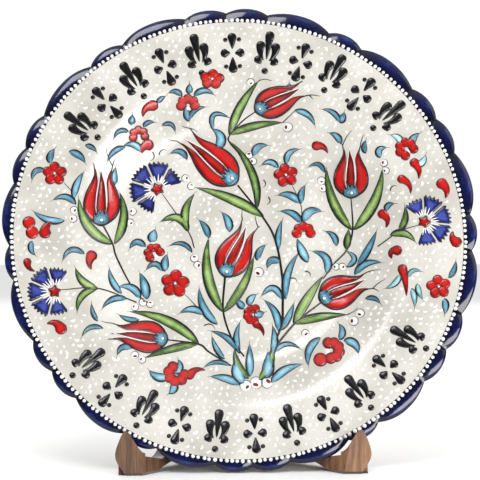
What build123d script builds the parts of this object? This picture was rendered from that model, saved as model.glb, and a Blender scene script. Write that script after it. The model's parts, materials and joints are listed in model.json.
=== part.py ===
from build123d import *

import math
import os

# A hand painted ceramic plate with a scalloped rim, leaning on a folding wooden display stand.
# The stand is two shaped boards joined at the back by two brass butt hinges. Each board carries
# a toe whose lip keeps the plate's rim from sliding forward, and an upright that the plate's
# foot ring leans against.
#
# Everything is first modelled in the plate's own frame, in millimetres: X to the right, Y up
# along the face, Z out of the face, with the origin at the plate's centre in the rim's plane.
# to_row then leans it back and stands it on the table. In the row frame +Z is up, -Y is the
# side that the painted face looks to, and the table is at Z = 0.

# ---- Plate -----------------------------------------------------------------------------
LOBE_RADIUS = {"narrow": 149.8, "wide": 151.3, "medium": 150.8}
SECTORS = 6                       # the scalloped outline repeats six times
SECTOR_LOBES = ["narrow", "wide", "medium", "medium", "wide"]
LOBE_SPAN = {"narrow": 9.0, "wide": 16.0, "medium": 9.5}          # degrees
VALLEY_RADIUS = [146.6, 146.6, 147.6, 147.8, 147.6]              # before each lobe of a sector
FIRST_LOBE_AT = 26.7              # degrees clockwise from the top, a narrow lobe's middle

WELL_RADIUS, WELL_DEPTH = 78.0, 24.0
FLANGE_RADIUS, FLANGE_DEPTH = 107.0, 6.5
RIM_RISE = 0.8                    # the rim's outer edge stands this far above the rim's plane
RIM_THICKNESS = 5.2
WALL_THICKNESS = 6.0
FOOT_OUTER, FOOT_INNER = 82.0, 74.0
FOOT_DEPTH = 36.0                 # foot ring's face, behind the rim's plane
EDGE_ROUNDING = 1.6

# ---- How the plate stands --------------------------------------------------------------
LEAN = 15.0                       # degrees back from upright
PLATE_CENTRE_HEIGHT = 147.0

# ---- Stand -----------------------------------------------------------------------------
HALF_SPREAD = 38.5                # each board's angle from straight ahead, when open
HINGE_BEHIND = 72.0               # hinge axis, behind the rim's plane
BOARD = 13.0                      # board thickness
HALF_GAP = 0.3                    # from the middle plane to a board's inner face, when folded
BACK_EDGE = 1.25                  # from the hinge axis to a board's back edge
RING_GAP = 0.3                    # between the foot ring and the uprights
UPRIGHT_TOP = 94.0
WAIST = 27.0                      # board width at the upright's waist
FLOOR_HEIGHT = -141.5             # ledge that the rim stands on
LEDGE_BACK = -9.5                 # where the ledge starts, behind the rim
LIP_BACK, LIP_TOP = 2.9, -127.0   # lip's back face and its highest point
TOE_FRONT = -44.5                 # the toe's upright front face, from under the plate's centre
ARCH_FROM, ARCH_TO, ARCH_RISE = 24.0, 86.0, 6.5
PAD = 1.5                         # felt pad thickness
BOARD_ROUNDING = 1.5

# ---- Hinges ----------------------------------------------------------------------------
HINGES = {"upper": 44.0, "lower": -86.0}     # middle of each hinge, up along the boards
HINGE_LENGTH = 30.0
LEAF_WIDTH, LEAF_THICKNESS = 11.5, 1.2
BARREL_RADIUS, PIN_RADIUS = 2.2, 1.05
RUNNING = 0.05                    # radial clearance round a pin
KNUCKLE_GAP = 0.15
KNUCKLE = HINGE_LENGTH / 3
PIN_HEAD_RADIUS, PIN_HEAD = 1.9, 0.8
BARREL_COVE = 2.8                 # groove in the boards that clears the barrels
SCREW_RADIUS, SCREW_HEAD_RADIUS, SCREW_LENGTH = 1.2, 2.3, 11.0
SCREW_SPACING, SCREW_INSET = 18.0, 7.0
SCREW_CLEARANCE = 0.05
SCREW_SLOT = 0.6

FAR = 400.0                       # larger than anything here, for cutting tools


def to_row(shape):
    """From the plate's frame to the row frame, before it is centred front to back."""
    return Pos(0, 0, PLATE_CENTRE_HEIGHT) * Rot(90 - LEAN, 0, 0) * shape


def at_clock(radius, degrees):
    """A point of the plate's face by its radius and its angle clockwise from the top."""
    a = math.radians(degrees)
    return (radius * math.sin(a), radius * math.cos(a))


def scalloped_outline():
    """The plate's outline: one arc for each lobe, from valley to valley."""
    arcs = []
    for sector in range(SECTORS):
        middle = FIRST_LOBE_AT + sector * 360 / SECTORS
        start = middle - LOBE_SPAN["narrow"] / 2
        for i, lobe in enumerate(SECTOR_LOBES):
            end = start + LOBE_SPAN[lobe]
            after = VALLEY_RADIUS[(i + 1) % len(VALLEY_RADIUS)]
            arcs.append(ThreePointArc(
                at_clock(VALLEY_RADIUS[i], start),
                at_clock(LOBE_RADIUS[lobe], (start + end) / 2),
                at_clock(after, end),
            ))
            start = end
    return make_face(Wire(arcs))


def plate_section():
    """Half the plate's section, radius along X and depth along Y."""
    edge = max(LOBE_RADIUS.values()) + 2
    back = WELL_DEPTH + WALL_THICKNESS
    front_line = FilletPolyline(
        (0, -WELL_DEPTH), (WELL_RADIUS, -WELL_DEPTH),
        (FLANGE_RADIUS, -FLANGE_DEPTH), (edge, RIM_RISE),
        radius=[32, 26],
    )
    back_line = FilletPolyline(
        (edge, RIM_RISE - RIM_THICKNESS), (FLANGE_RADIUS + 3, -FLANGE_DEPTH - WALL_THICKNESS),
        (FOOT_OUTER, -back), (FOOT_OUTER, -FOOT_DEPTH),
        (FOOT_INNER, -FOOT_DEPTH), (FOOT_INNER - 1.5, -back), (0, -back),
        radius=[22, 3, 2, 2, 1.5],
    )
    ends = [Line(front_line @ 1, back_line @ 0), Line(back_line @ 1, front_line @ 0)]
    return make_face(Wire([*front_line.edges(), ends[0], *back_line.edges(), ends[1]]))


def make_plate():
    """The fired body: a turned dish, cut to the scalloped outline, with its rim rounded."""
    half = Plane.XZ * plate_section()
    dish = revolve(half, Axis.Z, 360)
    cutter = Pos(0, 0, -FAR / 2) * extrude(scalloped_outline(), FAR)
    plate = (dish & cutter).solids()[0]
    lowest_edge = min(VALLEY_RADIUS) - 1
    rim_edges = [
        e for e in plate.edges()
        if math.hypot(e.center().X, e.center().Y) > lowest_edge and abs(e.tangent_at(0.5).Z) < 0.5
    ]
    return plate.fillet(EDGE_ROUNDING, rim_edges)


def board_plane():
    """The right board's plane at its hinge axis: X forward along it, Y up it, Z inward."""
    a = math.radians(HALF_SPREAD)
    return Plane(
        origin=(0, 0, -HINGE_BEHIND),
        x_dir=(math.sin(a), 0, math.cos(a)),
        z_dir=(-math.cos(a), 0, math.sin(a)),
    )


def reach(depth, face=0.0):
    """How far along a board, at that distance into its thickness, the plane at depth lies."""
    a = math.radians(HALF_SPREAD)
    return (HINGE_BEHIND + depth + face * math.sin(a)) / math.cos(a)


def table_line(along):
    """Where the table meets the right board's inner face."""
    a, lean = math.radians(HALF_SPREAD), math.radians(LEAN)
    depth = -HINGE_BEHIND + along * math.cos(a)
    return -(PLATE_CENTRE_HEIGHT + depth * math.sin(lean)) / math.cos(lean)


def foot_arch():
    """The shallow arch that leaves a heel and a toe on the table, square to the table's slope."""
    start, end = (Vector(along, table_line(along)) for along in (ARCH_FROM, ARCH_TO))
    half = (end - start).length / 2
    radius = (half ** 2 + ARCH_RISE ** 2) / (2 * ARCH_RISE)
    down = (end - start).normalized().rotate(Axis.Z, -90)
    return Pos((start + end) * 0.5 + down * (radius - ARCH_RISE)) * Circle(radius)


def board_profile():
    """The right board's outline, before its toe is shaped and its foot is cut to the table."""
    ring = reach(-FOOT_DEPTH) - RING_GAP          # front of the upright where the ring leans
    ledge = reach(LEDGE_BACK)                     # where the ledge behind the lip starts
    toe_end = reach(16, BOARD)
    below = table_line(toe_end) - 12
    outline = [
        Line((BACK_EDGE, below), (BACK_EDGE, UPRIGHT_TOP - 9)),
        Spline((BACK_EDGE, UPRIGHT_TOP - 9), (18, UPRIGHT_TOP), (ring, 76),
               tangents=[(0, 1), (0, -1)]),
        Spline((ring, 76), (WAIST, 30), (WAIST, -20), (ring, -72),
               tangents=[(0, -1), (0, -1)]),
        Spline((ring, -72), (57, -104), (ledge, FLOOR_HEIGHT), tangents=[(0, -1), (1, -0.35)]),
        Line((ledge, FLOOR_HEIGHT), (ledge + 6, FLOOR_HEIGHT)),
        Line((ledge + 6, FLOOR_HEIGHT), (ledge + 6, LIP_TOP + 4)),
        Line((ledge + 6, LIP_TOP + 4), (toe_end, LIP_TOP + 4)),
        Line((toe_end, LIP_TOP + 4), (toe_end, below)),
        Line((toe_end, below), (BACK_EDGE, below)),
    ]
    return make_face(Wire(outline)) - foot_arch()


def lip_outline(corner):
    """What shows of the right toe from in front: a rounded tear drop, higher on its outer side."""
    foot = table_line(reach(0))
    inner = corner - 1
    top_line = Spline(
        (inner, FLOOR_HEIGHT + 2.0), (corner + 6.5, LIP_TOP - 5), (corner + 10.8, LIP_TOP),
        (corner + 15.4, LIP_TOP - 7), (corner + 17.2, LIP_TOP - 16), (corner + 13.6, foot + 2.5),
        (corner + 8, foot - 8),
    )
    return make_face(Wire([
        top_line,
        Line((corner + 8, foot - 8), (inner, foot - 8)),
        Line((inner, foot - 8), (inner, FLOOR_HEIGHT + 2.0)),
    ]))


def make_board():
    """The right board down to the table, in the row frame: outline, ledge, lip and toe."""
    plane = board_plane()
    thick = Plane(plane.origin - plane.z_dir * (HALF_GAP + BOARD), plane.x_dir, plane.z_dir)
    board = extrude(thick * board_profile(), BOARD)
    long_edges = [
        e for e in board.edges()
        if abs(e.tangent_at(0.5).dot(plane.z_dir)) < 0.3 and e.center().Y > FLOOR_HEIGHT + 8
    ]
    board = board.fillet(BOARD_ROUNDING, long_edges)
    cove = Plane(plane.origin, plane.x_dir, Vector(0, 1, 0)) * Cylinder(BARREL_COVE, 2 * FAR)
    over_ledge = Pos(0, FLOOR_HEIGHT + FAR / 2, LIP_BACK - 20) * Box(FAR, FAR, 40)
    corner = reach(LIP_BACK + 2) * math.sin(math.radians(HALF_SPREAD))
    in_front = Pos(0, 0, LIP_BACK + FAR / 2) * Box(FAR, 2 * FAR, FAR)
    lip = Pos(0, 0, LIP_BACK - 1) * extrude(lip_outline(corner), FAR)
    near_toe = plane * Pos(FAR / 2 + reach(LEDGE_BACK), 0, 0) * Box(FAR, 2 * FAR, 2 * FAR)
    board = board - cove - (over_ledge & near_toe) - (in_front - lip)
    kept = Pos(0, TOE_FRONT + FAR / 2, FAR / 2) * Box(FAR, FAR, FAR)
    return (to_row(board) & kept).solids().sort_by(SortBy.VOLUME)[-1]


def screw_places(middle):
    """Each screw's place on the right board's back edge, as a plane whose Z goes into the wood."""
    plane = board_plane()
    for up in (middle - SCREW_SPACING / 2, middle + SCREW_SPACING / 2):
        origin = plane.from_local_coords((0, up, -(HALF_GAP + SCREW_INSET)))
        yield Plane(origin, x_dir=(0, 1, 0), z_dir=plane.x_dir)


def screw_shape(grow):
    """A countersunk wood screw, its head's face at Z = 0."""
    head = Pos(0, 0, LEAF_THICKNESS / 2) * Cone(
        SCREW_HEAD_RADIUS + grow, SCREW_RADIUS + grow, LEAF_THICKNESS)
    shank_length = SCREW_LENGTH - LEAF_THICKNESS
    shank = Pos(0, 0, LEAF_THICKNESS + shank_length / 2) * Cylinder(
        SCREW_RADIUS + grow, shank_length + 2 * grow)
    return head + shank


def make_screws(middle):
    """The two screws of one leaf."""
    slot = Pos(0, 0, SCREW_SLOT / 2) * Box(2.2 * SCREW_HEAD_RADIUS, SCREW_SLOT, SCREW_SLOT)
    return Compound([to_row(place * (screw_shape(0) - slot)) for place in screw_places(middle)])


def axis_tube(radius, low, high):
    """A round bar along the hinge axis."""
    return Plane((0, (low + high) / 2, -HINGE_BEHIND), (1, 0, 0), (0, 1, 0)) * Cylinder(
        radius, high - low)


def make_leaf(middle, knuckles):
    """One right-hand leaf. knuckles says which thirds of the barrel are its own, 0 lowest."""
    plane = board_plane()
    low = middle - HINGE_LENGTH / 2
    centre = (LEAF_THICKNESS / 2, middle, -(HALF_GAP + LEAF_WIDTH) / 2)
    body = Plane(plane.from_local_coords(centre), plane.x_dir, plane.z_dir) * Box(
        LEAF_THICKNESS, HINGE_LENGTH, LEAF_WIDTH + HALF_GAP)
    for third in range(3):
        bottom, top = low + third * KNUCKLE, low + (third + 1) * KNUCKLE
        if third in knuckles:
            gap_low = KNUCKLE_GAP / 2 if third > 0 else 0
            gap_high = KNUCKLE_GAP / 2 if third < 2 else 0
            body = body + axis_tube(BARREL_RADIUS, bottom + gap_low, top - gap_high)
        else:
            body = body - axis_tube(BARREL_RADIUS + 0.3, bottom - 0.01, top + 0.01)
    body = body - axis_tube(PIN_RADIUS + RUNNING, low - 1, low + HINGE_LENGTH + 1)
    for place in screw_places(middle):
        body = body - place * screw_shape(SCREW_CLEARANCE)
    return to_row(body)


def make_pin(middle):
    """The hinge pin, with a flat head at each end."""
    half = HINGE_LENGTH / 2
    pin = axis_tube(PIN_RADIUS, middle - half - PIN_HEAD, middle + half + PIN_HEAD)
    gap = 0.05
    for low in (middle - half - PIN_HEAD, middle + half + gap):
        pin = pin + axis_tube(PIN_HEAD_RADIUS, low, low + PIN_HEAD - gap)
    return to_row(pin)


def make_leg():
    """The right leg: its board, drilled for the screws, and the two felt pads cut to its feet."""
    board = make_board()
    slab = Pos(0, 0, PAD / 2) * Box(FAR, FAR, PAD)
    pads = (board & slab).solids().sort_by(Axis.Y)
    board = board - slab
    for middle in HINGES.values():
        for place in screw_places(middle):
            board = board - to_row(place * screw_shape(SCREW_CLEARANCE))
    return {"leg": board, "toe_pad": pads[0], "heel_pad": pads[-1]}


def make_nodes():
    """Every node by name, in the row frame, centred front to back."""
    nodes = {"plate": to_row(make_plate())}
    for name, shape in make_leg().items():
        nodes["right_" + name] = shape
        nodes["left_" + name] = mirror(shape, Plane.YZ)
    for hinge, middle in HINGES.items():
        nodes[hinge + "_hinge_right_leaf"] = make_leaf(middle, [1])
        nodes[hinge + "_hinge_left_leaf"] = mirror(make_leaf(middle, [0, 2]), Plane.YZ)
        nodes[hinge + "_hinge_pin"] = make_pin(middle)
        nodes[hinge + "_hinge_right_screws"] = make_screws(middle)
        nodes[hinge + "_hinge_left_screws"] = mirror(make_screws(middle), Plane.YZ)
    box = Compound([*nodes.values()]).bounding_box()
    centring = -(box.min.Y + box.max.Y) / 2
    print("moved front to back by", round(centring, 3))
    return {name: Pos(0, centring, 0) * shape for name, shape in nodes.items()}


def main():
    os.makedirs("parts", exist_ok=True)
    for name, shape in make_nodes().items():
        export_step(shape, f"parts/{name}.step")


main()
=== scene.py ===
import json
import math
import random

import bpy
import numpy as np
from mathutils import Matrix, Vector
from mathutils.geometry import delaunay_2d_cdt


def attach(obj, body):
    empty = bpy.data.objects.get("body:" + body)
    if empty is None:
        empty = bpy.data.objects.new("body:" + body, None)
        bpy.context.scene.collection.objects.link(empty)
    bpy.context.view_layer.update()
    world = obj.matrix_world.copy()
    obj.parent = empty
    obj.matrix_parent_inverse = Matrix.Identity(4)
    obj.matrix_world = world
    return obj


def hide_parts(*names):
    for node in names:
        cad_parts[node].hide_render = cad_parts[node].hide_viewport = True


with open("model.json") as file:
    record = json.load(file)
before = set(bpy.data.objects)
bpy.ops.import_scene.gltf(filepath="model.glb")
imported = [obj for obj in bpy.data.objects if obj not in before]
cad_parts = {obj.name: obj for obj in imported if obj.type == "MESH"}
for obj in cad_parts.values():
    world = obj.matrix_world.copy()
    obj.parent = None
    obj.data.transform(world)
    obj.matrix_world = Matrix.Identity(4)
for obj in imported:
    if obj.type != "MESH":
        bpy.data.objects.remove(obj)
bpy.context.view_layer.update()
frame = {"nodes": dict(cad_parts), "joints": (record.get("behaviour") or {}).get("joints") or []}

# The plate's own frame, in millimetres: x to the right, y up along the face, z out of the face,
# with the origin at the plate's centre in the rim's plane. The stand's hinge axis runs up along
# the face, a known way behind it, so that joint gives the frame's place and tilt.
MM = 0.001
HINGE_BEHIND = 72.0
FOLD = next(j for j in frame["joints"] if j["name"] == "stand_fold")
ACROSS = np.array((1.0, 0.0, 0.0))
UP = -np.array(FOLD["axis"])
OUT = np.array((0.0, -UP[2], UP[1]))
CENTRE = np.array(FOLD["pos_m"]) + HINGE_BEHIND * MM * OUT


# The eye that the painting is laid out for: its distance in millimetres from where it looks, how
# far round to the right and up it is, and how far below the plate's centre it looks.
EYE_DISTANCE = 1100.0
EYE_AZIMUTH = math.radians(-3.0)
EYE_ELEVATION = math.radians(1.0)
LOOKS_BELOW = 4.1
SEEN_RIGHT = np.array((math.cos(EYE_AZIMUTH), math.sin(EYE_AZIMUTH), 0.0))
TO_EYE = np.array((math.sin(EYE_AZIMUTH) * math.cos(EYE_ELEVATION),
                   -math.cos(EYE_AZIMUTH) * math.cos(EYE_ELEVATION), math.sin(EYE_ELEVATION)))
SEEN_UP = np.cross(TO_EYE, SEEN_RIGHT)
LOOKED_AT = CENTRE - MM * LOOKS_BELOW * np.array((0.0, 0.0, 1.0))


def to_row(x, y, z):
    """Points of the plate's frame, as arrays in millimetres, in the row frame in metres."""
    return CENTRE + MM * (np.outer(x, ACROSS) + np.outer(y, UP) + np.outer(z, OUT))


# ---- Surface of the plate ----
BEADS_AT = 144.5  # radius of the ring of beads
GLAZE_EDGE = 143.3  # white glaze inside this radius, cobalt outside it
RIM_OFF = (1.4, 1.2)  # how far the lobes' centre lies to the right and up
RIM_GROWTH = 1.4  # and how much wider they are than the pressed blank
SECTOR_STARTS = (7.7, 68.7, 129.7, 186.7, 242.2, 302.2)  # degrees clockwise from the top
LOBES = [  # span in degrees, radius at its middle, radius of the valley before
    (16.0, 151.3, 147.4), (9.0, 149.8, 146.3), (16.0, 151.3, 146.3), (9.5, 150.8, 147.4),
    (9.5, 150.8, 147.6),
]
STEPS_PER_DEGREE = 1.5
FRONT = [(0, -24.0), (78.0, -24.0), (107.0, -6.5), (153.3, 0.8)]
FRONT_SOFT = [8.2, 5.0]
BACK = [(82.0, -30.0), (110.0, -12.5), (153.3, -4.4)]
BACK_SOFT = [6.0]
FOOT = [
    (83.4, -29.3), (82.5, -30.3), (82.0, -31.5), (82.0, -34.4), (81.5, -35.5), (80.3, -36.0),
    (75.7, -36.0), (74.5, -35.5), (74.0, -34.3), (73.4, -31.6), (72.6, -30.4), (71.0, -30.0),
    *[(radius, -30.0) for radius in (60.0, 45.0, 30.0, 15.0, 3.0)],
]
DRAWN_WIDER, DRAWN_TALLER = 1.0215, 0.9850  # from the drawing's units to millimetres seen
DRAWN_SHIFT = (-0.4, -0.2)
FOOT_FACE = -35.2  # the foot ring's bare face lies below this
EDGE_DEPTH = -2.4  # depth of the rim's outermost line
RIM_BACK = 138.5  # radius where the rim's back runs into the flange's
COBALT_BACK = 133  # the cobalt runs on over the back, as far in as this
DABS_WITHIN = 140.8  # radius of the ground that has slip dabs
PUFF = 1.25  # how far each lobe swells, and its creases sink


def soft_line(points, softness):
    """Height over radius along straight runs, with each corner eased over its softness."""
    xs, zs = np.array(points, float).T
    slopes = np.diff(zs) / np.diff(xs)

    def height(r):
        r = np.asarray(r, float)
        z = np.interp(r, xs, zs)
        for i, soft in enumerate(softness):
            away = r - xs[i + 1]
            eased = zs[i + 1] + slopes[i] * away
            eased = eased + (slopes[i + 1] - slopes[i]) * (away + soft) ** 2 / (4 * soft)
            z = np.where(np.abs(away) < soft, eased, z)
        return z
    return height


front_height = soft_line(FRONT, FRONT_SOFT)
back_height = soft_line(BACK, BACK_SOFT)


def on_glaze(drawn):
    """Where the drawing's points, laid out as the eye sees them, fall on the glazed front."""
    axes = np.array((ACROSS, UP, OUT)).T
    seen = LOOKED_AT + MM * (np.outer(drawn[:, 0] * DRAWN_WIDER + DRAWN_SHIFT[0], SEEN_RIGHT)
                             + np.outer(drawn[:, 1] * DRAWN_TALLER + DRAWN_SHIFT[1], SEEN_UP))
    seen = (seen - CENTRE) @ axes / MM
    eye = (LOOKED_AT + MM * EYE_DISTANCE * TO_EYE - CENTRE) @ axes / MM
    height = np.zeros(len(drawn))
    for _ in range(6):
        reach = (height - eye[2]) / (seen[:, 2] - eye[2])
        place = eye + reach[:, None] * (seen - eye)
        height = front_height(np.hypot(place[:, 0], place[:, 1]))
    return place[:, :2]


def rim_outline():
    """Angle, radius and fullness of the rim, with each valley exactly on a sample. The lobes
    were cut by hand, a little off the centre of the beads and the painting."""
    samples = []
    ends = [*SECTOR_STARTS[1:], SECTOR_STARTS[0] + 360]
    whole = sum(span for span, _, _ in LOBES)
    for start, end in zip(SECTOR_STARTS, ends):
        stretch = (end - start) / whole
        for i, (share, peak, before) in enumerate(LOBES):
            after = LOBES[(i + 1) % len(LOBES)][2]
            span = share * stretch
            count = round(share * STEPS_PER_DEGREE)
            for k in range(count):
                across = 2 * k / count - 1
                valley = before + (after - before) * k / count
                full = 1 - abs(across) ** 2.2
                samples.append((start + span * k / count, valley + (peak - valley) * full, full))
            start += span
    angles, radii, full = np.array(samples).T
    turn = np.radians(angles)
    radii = radii + RIM_GROWTH + RIM_OFF[0] * np.sin(turn) + RIM_OFF[1] * np.cos(turn)
    return angles, radii, full


# ---- Pieces ----
def put(name, data):
    """A new object in the scene."""
    thing = bpy.data.objects.new(name, data)
    bpy.context.scene.collection.objects.link(thing)
    return thing


def make_piece(name, points, faces, materials, body, attributes=None, face_slots=None):
    """A smooth mesh piece from row-frame points, riding on a body."""
    mesh = bpy.data.meshes.new(name)
    mesh.from_pydata([tuple(p) for p in points], [], faces)
    for material in materials:
        mesh.materials.append(material)
    for key, values in (attributes or {}).items():
        layer = mesh.attributes.new(key, "FLOAT", "POINT")
        layer.data.foreach_set("value", np.asarray(values, np.float32))
    if face_slots is not None:
        mesh.polygons.foreach_set("material_index", face_slots)
    mesh.polygons.foreach_set("use_smooth", [True] * len(mesh.polygons))
    mesh.validate()
    mesh.update()
    piece = put(name, mesh)
    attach(piece, body)
    return piece


# ---- Materials ----
class Recipe:
    """A procedural material that is being put together."""

    def __init__(self, name, **constants):
        self.material = bpy.data.materials.new(name)
        self.material.use_nodes = True
        self.tree = self.material.node_tree
        self.shader = self.tree.nodes["Principled BSDF"]
        for key, value in constants.items():
            self.shader.inputs[key.replace("_", " ")].default_value = value

    def feed(self, socket, value):
        if isinstance(value, bpy.types.NodeSocket):
            self.tree.links.new(value, socket)
        else:
            socket.default_value = value

    def node(self, kind, inputs, output=0, **settings):
        made = self.tree.nodes.new("ShaderNode" + kind)
        for key, value in settings.items():
            setattr(made, key, value)
        for key, value in inputs.items():
            self.feed(made.inputs[key], value)
        return made.outputs[output]

    def place(self, scale=(1, 1, 1), turn=(0, 0, 0)):
        """Object coordinates, in metres, stretched."""
        where = self.tree.nodes.new("ShaderNodeTexCoord").outputs["Object"]
        return self.node("Mapping", {"Vector": where, "Scale": scale, "Rotation": turn})

    def noise(self, scale, detail=3.0, roughness=0.5, where=None, distortion=0.0):
        return self.node("TexNoise", {
            "Vector": where or self.place(), "Scale": scale, "Detail": detail,
            "Roughness": roughness, "Distortion": distortion,
        })

    def ramp(self, value, *stops):
        made = self.tree.nodes.new("ShaderNodeValToRGB")
        self.feed(made.inputs[0], value)
        while len(made.color_ramp.elements) < len(stops):
            made.color_ramp.elements.new(0.5)
        for element, (at, colour) in zip(made.color_ramp.elements, stops):
            element.position = at
            element.color = (*colour, 1)
        return made.outputs[0]

    def mix(self, share, a, b, blend="MIX"):
        made = self.tree.nodes.new("ShaderNodeMix")
        made.data_type = "RGBA"
        made.blend_type = blend
        for index, value in ((0, share), (6, a), (7, b)):
            if isinstance(value, tuple):
                value = (*value, 1)
            self.feed(made.inputs[index], value)
        return made.outputs[2]

    def maths(self, operation, a, b=0.0, c=0.0):
        return self.node("Math", {0: a, 1: b, 2: c}, operation=operation)

    def attribute(self, name):
        return self.node("Attribute", {}, output="Fac", attribute_name=name)

    def finish(self, colour, roughness=None, bump=None, strength=0.1, distance=0.0005):
        self.feed(self.shader.inputs["Base Color"], colour)
        if roughness is not None:
            self.feed(self.shader.inputs["Roughness"], roughness)
        if bump is not None:
            relief = self.node("Bump", {"Strength": strength, "Distance": distance, "Height": bump})
            self.feed(self.shader.inputs["Normal"], relief)
        return self.material


def ground_glaze():
    """Warm white glaze: cloudy, faintly speckled, with the ripple of a poured glaze."""
    r = Recipe("ground_glaze", Coat_Weight=0.3, Coat_Roughness=0.10, Specular_IOR_Level=0.35)
    cloud = r.noise(26, 4, 0.55)
    colour = r.ramp(cloud, (0.30, (0.43, 0.41, 0.365)), (0.52, (0.555, 0.535, 0.485)),
                    (0.75, (0.66, 0.645, 0.60)))
    specks = r.ramp(r.noise(1500, 2, 0.6), (0.0, (0.80, 0.77, 0.72)), (0.36, (0.97, 0.96, 0.95)),
                    (0.45, (1, 1, 1)))
    colour = r.mix(0.6, colour, specks, "MULTIPLY")
    rough = r.maths("MULTIPLY_ADD", r.noise(180, 2), 0.12, 0.14)
    return r.finish(colour, rough, r.noise(210, 3, 0.5), 0.22, 0.0004)


def enamel(name, dark, light, bright, roughness=0.16):
    """Painted glaze that pools darker along a shape's edge and in uneven patches."""
    r = Recipe(name, Coat_Weight=0.3, Coat_Roughness=0.08, Specular_IOR_Level=0.3)
    core = r.attribute("core")
    uneven = r.maths("SUBTRACT", r.noise(110, 4, 0.6), 0.5)
    uneven = r.maths("MULTIPLY", uneven, 1.3)
    depth = r.maths("ADD", r.maths("ADD", core, uneven), r.attribute("tone"))
    colour = r.ramp(depth, (0.18, dark), (0.62, light), (0.98, bright))
    rough = r.maths("MULTIPLY_ADD", r.noise(300, 2), 0.14, roughness - 0.05)
    return r.finish(colour, rough, r.noise(420, 3, 0.55), 0.28, 0.0003)


def cobalt_glaze():
    """Deep cobalt, thinner and bluer where it runs off the crests, with pale flow marks."""
    r = Recipe("cobalt_glaze", Coat_Weight=0.4, Coat_Roughness=0.05, Specular_IOR_Level=0.3)
    crest = r.attribute("core")
    flow = r.noise(95, 5, 0.62, distortion=1.2)
    depth = r.maths("ADD", r.maths("MULTIPLY", crest, 0.55), r.maths("MULTIPLY", flow, 0.75))
    colour = r.ramp(depth, (0.36, (0.0008, 0.0010, 0.007)), (0.66, (0.0014, 0.0022, 0.024)),
                    (0.90, (0.003, 0.005, 0.050)), (1.0, (0.010, 0.022, 0.13)))
    rough = r.maths("MULTIPLY_ADD", r.noise(260, 2), 0.10, 0.07)
    return r.finish(colour, rough, r.noise(170, 3, 0.5), 0.25, 0.0005)


def biscuit():
    """The unglazed, gritty face of the foot ring."""
    r = Recipe("biscuit", Specular_IOR_Level=0.3)
    grit = r.noise(1300, 5, 0.7)
    colour = r.ramp(grit, (0.3, (0.42, 0.31, 0.21)), (0.55, (0.62, 0.50, 0.37)),
                    (0.8, (0.74, 0.65, 0.52)))
    return r.finish(colour, r.maths("ADD", grit, 0.25), grit, 0.5, 0.0003)


def walnut(name, painted_light_factor):
    """Stained and varnished wood, its grain running up the boards, worn paler in streaks, with its whole
    colour scaled by a factor that darkens it as painted shade below one and lightens it as painted light
    above one.
    """
    r = Recipe(name, Coat_Weight=0.25, Coat_Roughness=0.25)
    tilt = math.atan2(UP[1], UP[2])
    along = r.place((1, 1, 0.055), (tilt, 0, 0))
    bands = r.noise(150, 5, 0.62, along, 1.6)
    fibres = r.noise(1100, 3, 0.7, along, 0.4)
    figure = r.maths("ADD", r.maths("MULTIPLY", bands, 0.72), r.maths("MULTIPLY", fibres, 0.30))
    # painted shade and light: each colour is scaled by the board's factor
    dark, middle, pale = (tuple(c * painted_light_factor for c in colour) for colour in (
        (0.050, 0.022, 0.010), (0.175, 0.082, 0.036), (0.36, 0.185, 0.085)))
    colour = r.ramp(figure, (0.34, dark), (0.52, middle), (0.70, pale))
    pores = r.ramp(fibres, (0.30, (0.35, 0.30, 0.26)), (0.42, (1, 1, 1)))
    colour = r.mix(0.65, colour, pores, "MULTIPLY")
    rough = r.ramp(r.noise(60, 3), (0.3, (0.34,) * 3), (0.7, (0.52,) * 3))
    return r.finish(colour, rough, fibres, 0.35, 0.0004)


def brass():
    """Pressed brass, brushed along the leaf and dulled in patches."""
    r = Recipe("pressed_brass", Metallic=1.0)
    brushed = r.noise(1800, 4, 0.6, r.place((1, 1, 0.08)))
    dull = r.noise(130, 4, 0.6)
    colour = r.ramp(dull, (0.3, (0.36, 0.23, 0.08)), (0.55, (0.66, 0.46, 0.18)),
                    (0.8, (0.80, 0.60, 0.28)))
    rough = r.maths("ADD", r.maths("MULTIPLY", dull, 0.25), 0.18)
    return r.finish(colour, rough, brushed, 0.3, 0.0001)


def felt():
    """Pressed wool felt."""
    r = Recipe("pad_felt", Roughness=0.95, Sheen_Weight=0.5, Sheen_Roughness=0.6)
    wool = r.noise(1600, 6, 0.75, distortion=2.0)
    colour = r.ramp(wool, (0.3, (0.018, 0.011, 0.007)), (0.6, (0.055, 0.034, 0.022)),
                    (0.8, (0.11, 0.07, 0.05)))
    return r.finish(colour, None, wool, 0.8, 0.0006)


GROUND = ground_glaze()
COBALT = cobalt_glaze()
BISCUIT = biscuit()
ENAMELS = {  # dark, usual and bright colour, and an unusual roughness
    "red": ((0.10, 0.002, 0.002), (0.37, 0.006, 0.005), (0.50, 0.012, 0.009)),
    "green": ((0.04, 0.085, 0.018), (0.20, 0.32, 0.085), (0.37, 0.49, 0.20)),
    "blue": ((0.045, 0.15, 0.22), (0.17, 0.38, 0.49), (0.34, 0.56, 0.64)),
    "pale": ((0.12, 0.30, 0.34), (0.45, 0.68, 0.72), (0.66, 0.80, 0.80)),
    "navy": ((0.004, 0.005, 0.035), (0.013, 0.018, 0.13), (0.05, 0.07, 0.30)),
    "white": ((0.72, 0.71, 0.68), (0.82, 0.815, 0.80), (0.88, 0.88, 0.87), 0.14),
    "slip": ((0.60, 0.585, 0.54), (0.73, 0.72, 0.685), (0.80, 0.79, 0.77)),
    "black": ((0.0015, 0.0015, 0.002), (0.004, 0.004, 0.005), (0.010, 0.010, 0.012), 0.18),
}
PAINTS = {paint: enamel(f"{paint}_enamel", *colours) for paint, colours in ENAMELS.items()}


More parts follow.
